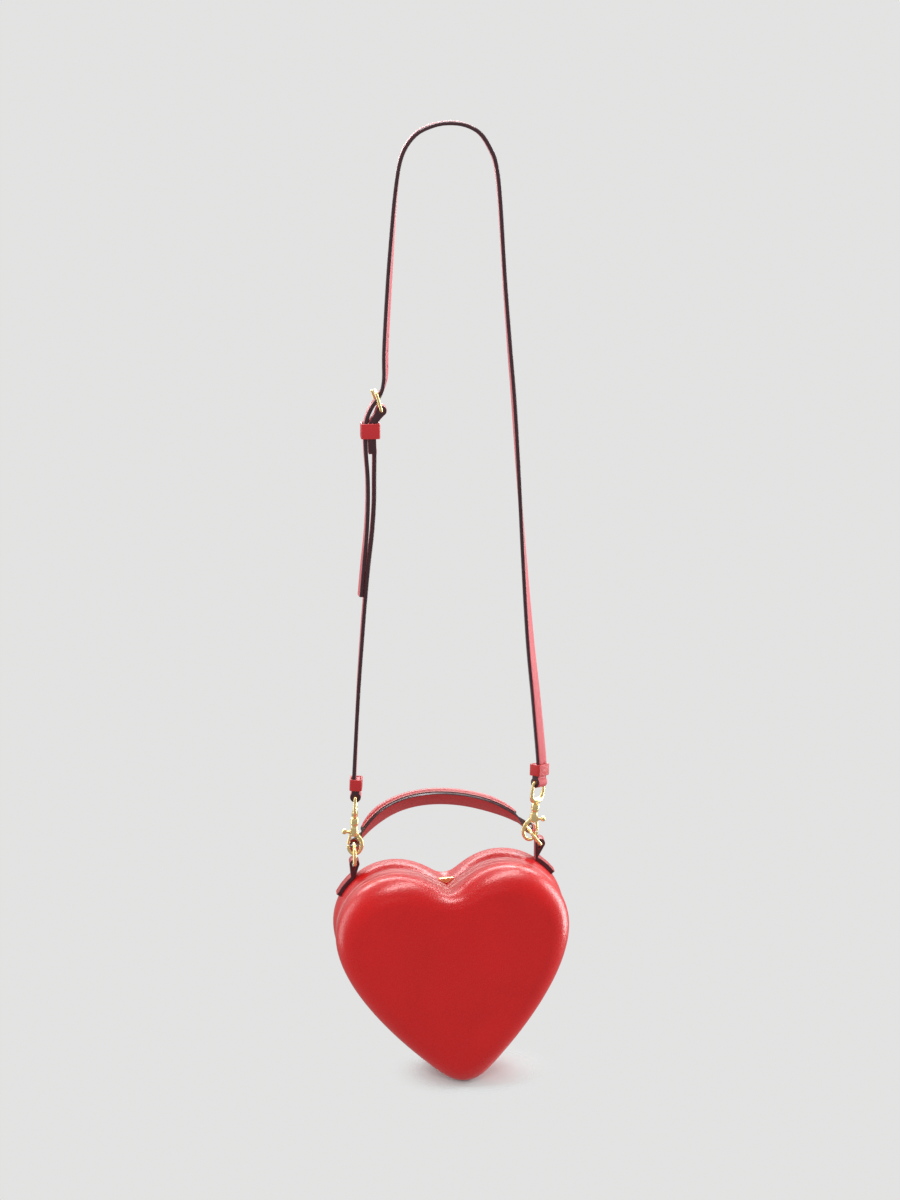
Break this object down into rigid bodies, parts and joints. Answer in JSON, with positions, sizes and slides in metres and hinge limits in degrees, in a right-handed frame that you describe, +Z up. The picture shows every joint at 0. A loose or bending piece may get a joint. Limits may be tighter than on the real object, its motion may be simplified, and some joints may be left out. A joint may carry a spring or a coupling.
{
  "type": "top handle bag",
  "caption": "Heart-shaped hard-shell handbag with a padded top handle, swivel snap hooks and an adjustable buckled shoulder strap.",
  "frame": {"origin": "middle of the shoulder strap's thickness at the highest point of its arch, where the strap hangs from a peg or a shoulder", "axes": "+Z up, +X the bag's right-hand side in front view, +Y the back of the bag; the lid faces -Y"},
  "size_m": [0.1734, 0.0938, 0.7196],
  "materials": {
    "red_leather": "smooth polished calf",
    "strap_leather": "smooth, painted edges",
    "lining_suede": "matt suede",
    "former_board": "moulded board",
    "padding": "felt core",
    "polished_gold": "polished",
    "spring_steel": "bright"
  },
  "bodies": {
    "strap": {"strap_long": "strap_leather", "strap_short": "strap_leather", "buckle_frame": "polished_gold", "end_keeper_left": "strap_leather", "end_keeper_right": "strap_leather", "swivel_eye_left": "polished_gold", "swivel_eye_right": "polished_gold"},
    "prong": {"buckle_prong": "polished_gold"},
    "keeper": {"buckle_keeper": "strap_leather"},
    "hook_left": {"hook_body_left": "polished_gold", "gate_pin_left": "polished_gold", "gate_spring_left": "spring_steel"},
    "hook_right": {"hook_body_right": "polished_gold", "gate_pin_right": "polished_gold", "gate_spring_right": "spring_steel"},
    "gate_left": {"hook_gate_left": "polished_gold"},
    "gate_right": {"hook_gate_right": "polished_gold"},
    "bag": {"rear_cover": "red_leather", "rear_former": "former_board", "rear_lining": "lining_suede", "rear_rim": "red_leather", "hinge_leaf_rear": "polished_gold", "hinge_pin": "polished_gold", "latch_bracket": "polished_gold", "latch_pin": "polished_gold", "latch_spring": "spring_steel", "tab_left": "red_leather", "tab_right": "red_leather"},
    "lid": {"front_cover": "red_leather", "front_former": "former_board", "front_lining": "lining_suede", "front_rim": "red_leather", "hinge_leaf_front": "polished_gold", "strike_plate": "polished_gold"},
    "latch": {"latch_lever": "polished_gold"},
    "ring_left": {"d_ring_left": "polished_gold"},
    "ring_right": {"d_ring_right": "polished_gold"},
    "handle": {"handle_top": "red_leather", "handle_core": "padding", "handle_lining": "red_leather"}
  },
  "joints": [
    {"name": "bag_swing", "type": "hinge", "parent": "strap", "child": "bag", "pos_m": [-0.0709, 0, -0.54768], "axis": [0.9982, 0, 0.0597], "range_deg": [-12, 16]},
    {"name": "lid_open", "type": "hinge", "parent": "bag", "child": "lid", "pos_m": [0.01038, -0.015, -0.7162], "axis": [0.9966, 0, 0.0828], "range_deg": [0, 90]},
    {"name": "latch_press", "type": "hinge", "parent": "bag", "child": "latch", "pos_m": [-0.00051, -0.0049, -0.58515], "axis": [0.9966, 0, 0.0828], "range_deg": [-0.6, 4], "stiffness_Nm_per_rad": 0.05, "springref_deg": -5.73},
    {"name": "handle_swing", "type": "hinge", "parent": "bag", "child": "handle", "pos_m": [-0.00192, 0.005, -0.54472], "axis": [-0.9966, 0, -0.0828], "range_deg": [-8, 4]},
    {"name": "ring_left_lean", "type": "hinge", "parent": "bag", "child": "ring_left", "pos_m": [-0.0709, 0.005, -0.55558], "axis": [0, 1, 0], "range_deg": [-4, 4]},
    {"name": "ring_right_lean", "type": "hinge", "parent": "bag", "child": "ring_right", "pos_m": [0.07024, 0.005, -0.54294], "axis": [0, -1, 0], "range_deg": [-3, 0]},
    {"name": "hook_left_swivel", "type": "hinge", "parent": "strap", "child": "hook_left", "pos_m": [-0.0706, 0, -0.51905], "axis": [0.0523, 0, 0.9986], "range_deg": [-12, 12]},
    {"name": "hook_right_swivel", "type": "hinge", "parent": "strap", "child": "hook_right", "pos_m": [0.06662, 0, -0.51161], "axis": [0.1392, 0, 0.9903], "range_deg": [-10, 10]},
    {"name": "gate_left_open", "type": "hinge", "parent": "hook_left", "child": "gate_left", "pos_m": [-0.07341, 0, -0.53072], "axis": [0, -1, 0], "range_deg": [0, 30], "stiffness_Nm_per_rad": 0.004, "springref_deg": -17.19},
    {"name": "gate_right_open", "type": "hinge", "parent": "hook_right", "child": "gate_right", "pos_m": [0.06715, 0, -0.5236], "axis": [0, 1, 0], "range_deg": [0, 22], "stiffness_Nm_per_rad": 0.004, "springref_deg": -17.19},
    {"name": "prong_lift", "type": "hinge", "parent": "strap", "child": "prong", "pos_m": [-0.04928, 0, -0.20818], "axis": [0, -1, 0], "range_deg": [0, 12]},
    {"name": "keeper_slide", "type": "slide", "parent": "strap", "child": "keeper", "axis": [0, 0, 1], "range_m": [-0.008, 0]}
  ]
}
